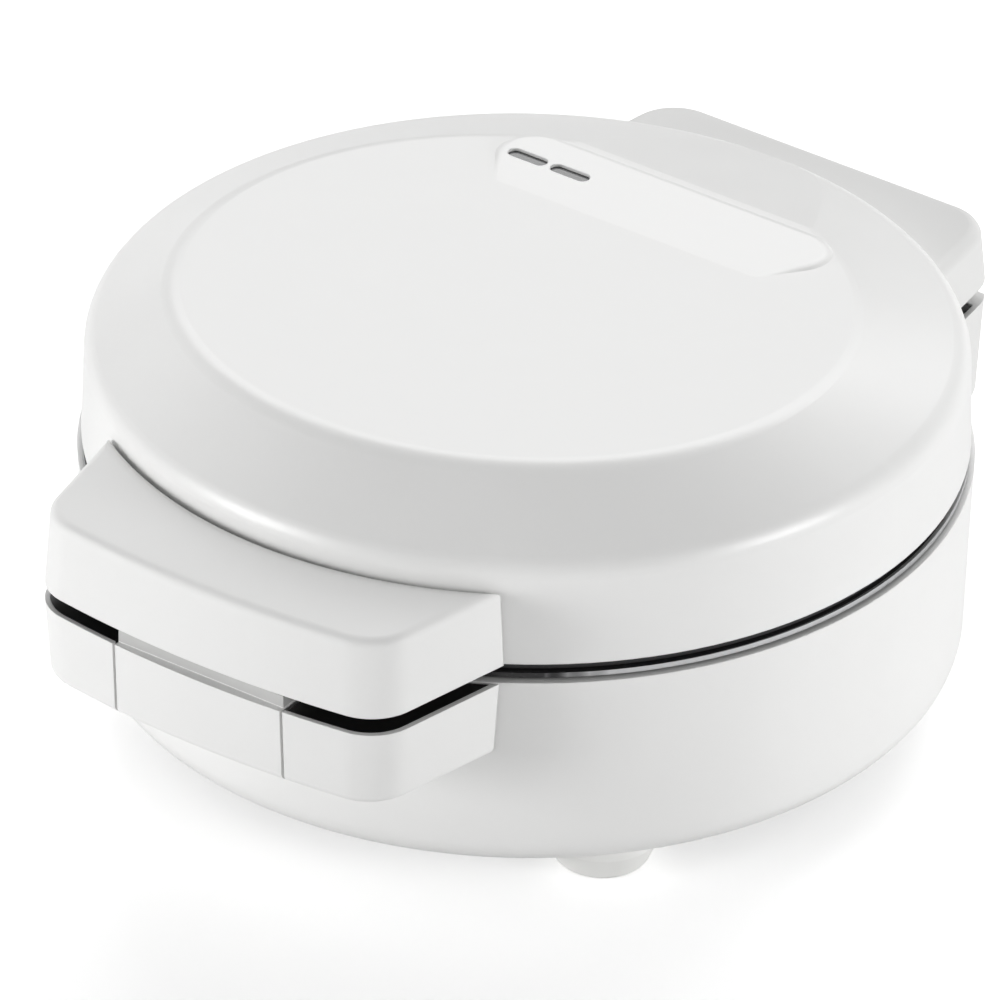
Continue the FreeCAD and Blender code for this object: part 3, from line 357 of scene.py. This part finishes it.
@dataclass(frozen=True)
class CoatedPlate:
    """Die-cast plate with a dark non-stick coat, machined bare round its rim.

    The coat is a near-black satin with fine paler flecks. The bare rim is a thin bright line in the seam.

    Attributes:
        name: The material and its process.
        slot: The record's slot that it stands for.
        coat_colour: sRGB hex of the coat.
        coat_roughness: Roughness of the coat.
        metal_colour: sRGB hex of the bare rim.
        metal_roughness: Roughness of the bare rim.
        bare_from: Distance from the axis where the bare rim starts.
        fleck_mm: Size of the coat's flecks.
        fleck_depth_mm: Height of the flecks.
        fleck_detail: Octaves of their pattern.
        fleck_range: Pattern values where a fleck starts and where it is full.
        fleck_gain: How much paler a full fleck is than the coat.
    """

    name: str = "aluminium_die_cast_non_stick"
    slot: Slot = Slot.PLATE
    coat_colour: str = "#2A2A2B"
    coat_roughness: float = 0.38
    metal_colour: str = "#D9DADB"
    metal_roughness: float = 0.3
    bare_from: float = 107.0 * MM
    fleck_mm: float = 0.7
    fleck_depth_mm: float = 0.01
    fleck_detail: float = 4.0
    fleck_range: tuple[float, float] = (0.62, 0.7)
    fleck_gain: float = 2.2

    def make(self) -> bpy.types.Material:
        """Makes the coated material.

        Returns:
            The material, bare where the distance from the axis passes the rim's edge.
        """
        material = bpy.data.materials.new(self.name)
        nodes = NodeTree(material)
        place = nodes.add("ShaderNodeTexCoord").outputs["Object"]
        flat = nodes.add("ShaderNodeVectorMath", place, (1.0, 1.0, 0.0), operation="MULTIPLY")
        reach = nodes.add("ShaderNodeVectorMath", flat.outputs["Vector"], operation="LENGTH")
        bare = nodes.add("ShaderNodeMapRange", Value=reach.outputs["Value"], From_Min=self.bare_from,
                         From_Max=self.bare_from + FINISH_STEP)
        flecks = nodes.add("ShaderNodeTexNoise", Vector=place, Scale=1 / (self.fleck_mm * MM),
                           Detail=self.fleck_detail).outputs["Fac"]
        start, full = self.fleck_range
        speck = nodes.add("ShaderNodeMapRange", Value=flecks, From_Min=start, From_Max=full, To_Min=1.0,
                          To_Max=self.fleck_gain)
        paint = nodes.add("ShaderNodeHueSaturation", Color=linear_rgb(self.coat_colour),
                          Value=speck.outputs["Result"])
        bump = nodes.add("ShaderNodeBump", Height=flecks, Strength=1.0, Distance=self.fleck_depth_mm * MM)
        coat = nodes.add("ShaderNodeBsdfPrincipled", Base_Color=paint.outputs["Color"],
                         Roughness=self.coat_roughness, Normal=bump.outputs["Normal"])
        metal = nodes.add("ShaderNodeBsdfPrincipled", Base_Color=linear_rgb(self.metal_colour),
                          Metallic=1.0, Roughness=self.metal_roughness)
        both = nodes.add("ShaderNodeMixShader", bare.outputs["Result"], coat.outputs["BSDF"],
                         metal.outputs["BSDF"])
        nodes.add("ShaderNodeOutputMaterial", Surface=both.outputs["Shader"])
        log.info("finish %s stands for %s", self.name, self.slot.value)
        return material


class SubAssembly:
    """A named group of construction nodes that share a place in the object.

    Attributes:
        title: What the group is called in the log.
        finishes: The finish of each of its nodes.
    """

    title: str = "sub-assembly"
    finishes: dict[str, Finishes] = {}

    def __init__(self, nodes: dict[str, bpy.types.Object], shop: FinishShop) -> None:
        """Keeps what the group is dressed from.

        Args:
            nodes: The construction nodes by name.
            shop: Where finishes are made.
        """
        self.nodes = nodes
        self.shop = shop

    def dress(self) -> None:
        """Gives every node of the group its finish."""
        for name, finish in self.finishes.items():
            self.paint(name, self.shop.get(finish.value))

    def paint(self, name: str, material: bpy.types.Material) -> None:
        """Fills all material slots of a node with one material.

        Args:
            name: The construction node.
            material: Its material.
        """
        mesh = self.nodes[name].data
        if not mesh.materials:
            mesh.materials.append(material)
        for index in range(len(mesh.materials)):
            mesh.materials[index] = material
        log.info("%s: %s takes %s", self.title, name, material.name)


class Housing(SubAssembly):
    """Bowl, lid and feet."""

    title = "housing"
    finishes = {"base_shell": Finishes.SHELL, "lid_shell": Finishes.SHELL, "feet": Finishes.FOOT}


class BakingPlates(SubAssembly):
    """Both moulded plates with what is fixed behind them."""

    title = "baking plates"
    finishes = {
        "lower_heating_element": Finishes.ELEMENT, "upper_heating_element": Finishes.ELEMENT,
        "lower_element_clamps": Finishes.SCREW, "upper_element_clamps": Finishes.SCREW,
        "lower_clamp_screws": Finishes.SCREW, "upper_clamp_screws": Finishes.SCREW,
        "lower_heat_shield": Finishes.SHIELD, "upper_heat_shield": Finishes.SHIELD,
        "base_plate_screws": Finishes.SCREW, "lid_plate_screws": Finishes.SCREW,
    }

    def dress(self) -> None:
        """Gives the plates their coat and the rest its finish."""
        super().dress()
        coated = CoatedPlate().make()
        for name in ("lower_baking_plate", "upper_baking_plate"):
            self.paint(name, coated)


class HandleSet(SubAssembly):
    """Both handle halves with their liners and screws."""

    title = "handle"
    finishes = {
        "upper_handle": Finishes.GRIP, "lower_handle": Finishes.GRIP,
        "upper_handle_cover": Finishes.LINER, "lower_handle_cover": Finishes.LINER,
        "upper_handle_screws": Finishes.SCREW, "lower_handle_screws": Finishes.SCREW,
    }


class HingeSet(SubAssembly):
    """Both hinge blocks with their pin, liners, screws and cord bush."""

    title = "hinge"
    finishes = {
        "upper_hinge_block": Finishes.HINGE_PAINTED_SHADE, "lower_hinge_block": Finishes.HINGE_PAINTED_SHADE,
        "upper_hinge_cover": Finishes.LINER, "lower_hinge_cover": Finishes.LINER,
        "upper_hinge_screws": Finishes.SCREW, "lower_hinge_screws": Finishes.SCREW,
        "hinge_pin": Finishes.SCREW, "hinge_plug": Finishes.HINGE_PAINTED_SHADE, "cord_bush": Finishes.BUSH,
    }


class LatchSet(SubAssembly):
    """Latch lever with its pin and spring."""

    title = "latch"
    finishes = {"latch_lever": Finishes.LATCH, "latch_pin": Finishes.SCREW, "latch_spring": Finishes.SPRING}


class LampPanel(SubAssembly):
    """Lenses, lamps and the bracket that holds them."""

    title = "lamp panel"
    finishes = {
        "power_lens": Finishes.LENS, "ready_lens": Finishes.LENS,
        "power_lamp": Finishes.LAMP, "ready_lamp": Finishes.LAMP,
        "lamp_bracket": Finishes.SCREW, "lamp_bracket_screw": Finishes.SCREW,
    }


class Controls(SubAssembly):
    """Thermostat, fuse and terminals inside the bowl."""

    title = "controls"
    finishes = {
        "thermostat": Finishes.CONTROL, "thermal_fuse": Finishes.CONTROL, "fuse_clip": Finishes.SCREW,
        "fuse_screw": Finishes.SCREW, "terminal_block": Finishes.TERMINAL, "terminal_screw": Finishes.SCREW,
    }


@dataclass
class Softbox:
    """A rectangular studio light aimed at the object.

    Attributes:
        name: What it is called.
        place: Where its middle stands.
        aim: The point that it faces.
        width: Its width.
        height: Its height.
        power: Its power in watts.
    """

    name: str
    place: tuple[float, float, float]
    aim: tuple[float, float, float]
    width: float
    height: float
    power: float

    def build(self) -> None:
        """Adds the light to the scene."""
        data = bpy.data.lights.new(self.name, "AREA")
        data.shape = "RECTANGLE"
        data.size = self.width
        data.size_y = self.height
        data.energy = self.power
        lamp = bpy.data.objects.new(self.name, data)
        bpy.context.scene.collection.objects.link(lamp)
        lamp.location = self.place
        gaze = Vector(self.aim) - Vector(self.place)
        lamp.rotation_euler = gaze.to_track_quat("-Z", "Y").to_euler()
        log.info("light %s", self.name)


@dataclass
class Studio:
    """Pale floor, soft light and the camera.

    Attributes:
        camera_azimuth_deg: Turn of the camera about the upright axis, from the front.
        camera_elevation_deg: Height of the camera above the horizon.
        camera_distance: From the aim point to the camera.
        camera_roll_deg: Turn of the picture about the view axis.
        camera_aim: Point at the middle of the picture.
        camera_reach: Farthest distance that the camera sees.
        focal_mm: Focal length on the sensor below.
        sensor_mm: Width of the sensor.
        floor_half: Half the side of the floor.
        floor_colour: sRGB hex of the floor.
        floor_lift: Light that the floor adds for the camera alone.
        fibre_mm: Size of the floor paper's fibres.
        fibre_depth_mm: Height of the fibres.
        fibre_detail: Octaves of their pattern.
        air_colour: sRGB hex of the even light all round.
        ambient: Strength of that light.
        lights: The softboxes.
    """

    camera_azimuth_deg: float = 35.302
    camera_elevation_deg: float = 31.878
    camera_distance: float = 3.3468
    camera_roll_deg: float = 0.894
    camera_aim: tuple[float, float, float] = (-0.00189, -0.00692, 0.05050)
    camera_reach: float = 100.0
    focal_mm: float = 495.84
    sensor_mm: float = 36.0
    floor_half: float = 6.0
    floor_colour: str = "#FBFBFB"
    floor_lift: float = 0.45
    fibre_mm: float = 2.0
    fibre_depth_mm: float = 0.01
    fibre_detail: float = 2.0
    air_colour: str = "#FFFFFF"
    ambient: float = 0.22
    lights: list[Softbox] = field(default_factory=lambda: [
        Softbox("softbox_left", (-1.38, -2.18, 0.36), (0.0, 0.0, 0.06), 1.0, 1.0, 44.0),
        Softbox("softbox_right", (2.54, 0.45, 0.36), (0.0, 0.0, 0.06), 1.0, 1.0, 38.0),
        Softbox("softbox_rear", (-0.85, 1.67, 1.81), (0.0, 0.0, 0.10), 2.6, 1.6, 48.0),
    ])

    def build(self) -> None:
        """Adds the floor, the light and the camera."""
        self._floor()
        self._world()
        for light in self.lights:
            light.build()
        self._camera()

    def _floor(self) -> None:
        """Lays the floor, one square whose corners are plus or minus half its side."""
        corners = self.floor_half * np.array([[-1, -1, 0], [1, -1, 0], [1, 1, 0], [-1, 1, 0]])
        mesh = bpy.data.meshes.new("floor")
        mesh.from_pydata(corners.tolist(), [], [(0, 1, 2, 3)])
        floor = bpy.data.objects.new("floor", mesh)
        bpy.context.scene.collection.objects.link(floor)
        mesh.materials.append(self._paper())
        log.info("floor")

    def _paper(self) -> bpy.types.Material:
        """Makes the floor's paper, lifted to white for the camera alone.

        Returns:
            The material.
        """
        # Uncoated paper is flat white without any shine, with a trace of fibre.
        material = bpy.data.materials.new("paper_sweep_white")
        nodes = NodeTree(material)
        place = nodes.add("ShaderNodeTexCoord").outputs["Object"]
        fibre = nodes.add("ShaderNodeTexNoise", Vector=place, Scale=1 / (self.fibre_mm * MM),
                          Detail=self.fibre_detail)
        bump = nodes.add("ShaderNodeBump", Height=fibre.outputs["Fac"], Distance=self.fibre_depth_mm * MM)
        paper = nodes.add("ShaderNodeBsdfDiffuse", Color=linear_rgb(self.floor_colour),
                          Normal=bump.outputs["Normal"])
        seen = nodes.add("ShaderNodeLightPath").outputs["Is Camera Ray"]
        lift = nodes.add("ShaderNodeMath", seen, self.floor_lift, operation="MULTIPLY")
        glow = nodes.add("ShaderNodeEmission", Strength=lift.outputs["Value"])
        both = nodes.add("ShaderNodeAddShader", paper.outputs["BSDF"], glow.outputs["Emission"])
        nodes.add("ShaderNodeOutputMaterial", Surface=both.outputs["Shader"])
        return material

    def _world(self) -> None:
        """Fills the studio with even light."""
        world = bpy.data.worlds.new("studio_air")
        bpy.context.scene.world = world
        world.use_nodes = True
        background = world.node_tree.nodes["Background"]
        background.inputs["Color"].default_value = linear_rgb(self.air_colour)
        background.inputs["Strength"].default_value = self.ambient

    def _camera(self) -> None:
        """Stands the camera on a sphere round its aim point, turned by its roll."""
        turn = math.radians(self.camera_azimuth_deg)
        lift = math.radians(self.camera_elevation_deg)
        roll = math.radians(self.camera_roll_deg)
        back = Vector((math.sin(turn) * math.cos(lift), -math.cos(turn) * math.cos(lift), math.sin(lift)))
        level = Vector((math.cos(turn), math.sin(turn), 0.0))
        upright = back.cross(level)
        right = math.cos(roll) * level + math.sin(roll) * upright
        up = math.cos(roll) * upright - math.sin(roll) * level
        place = Vector(self.camera_aim) + back * self.camera_distance
        data = bpy.data.cameras.new("studio_camera")
        data.sensor_width = self.sensor_mm
        data.lens = self.focal_mm
        data.clip_end = self.camera_reach
        camera = bpy.data.objects.new("studio_camera", data)
        bpy.context.scene.collection.objects.link(camera)
        columns = (right, up, back, place)
        camera.matrix_world = Matrix([[c[row] for c in columns] for row in range(3)] + [[0, 0, 0, 1]])
        bpy.context.scene.camera = camera
        log.info("camera %s", camera.name)


class DonutMaker:
    """The whole object, dressed sub-assembly by sub-assembly.

    Attributes:
        PARTS: The sub-assemblies in the order of dressing.
    """

    PARTS: tuple[type[SubAssembly], ...] = (Housing, BakingPlates, HandleSet, HingeSet, LatchSet, LampPanel,
                                            Controls)

    def __init__(self, frame: dict) -> None:
        """Sets up the sub-assemblies.

        Args:
            frame: The loaded construction model.
        """
        shop = FinishShop()
        self.parts = [part(frame["nodes"], shop) for part in self.PARTS]

    def build(self) -> None:
        """Dresses every sub-assembly."""
        for part in self.parts:
            part.dress()


def main() -> None:
    """Builds the scene and sets its view transform to Standard."""
    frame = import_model()
    DonutMaker(frame).build()
    Studio().build()
    bpy.context.scene.view_settings.view_transform = "Standard"


if __name__ == "__main__":
    main()
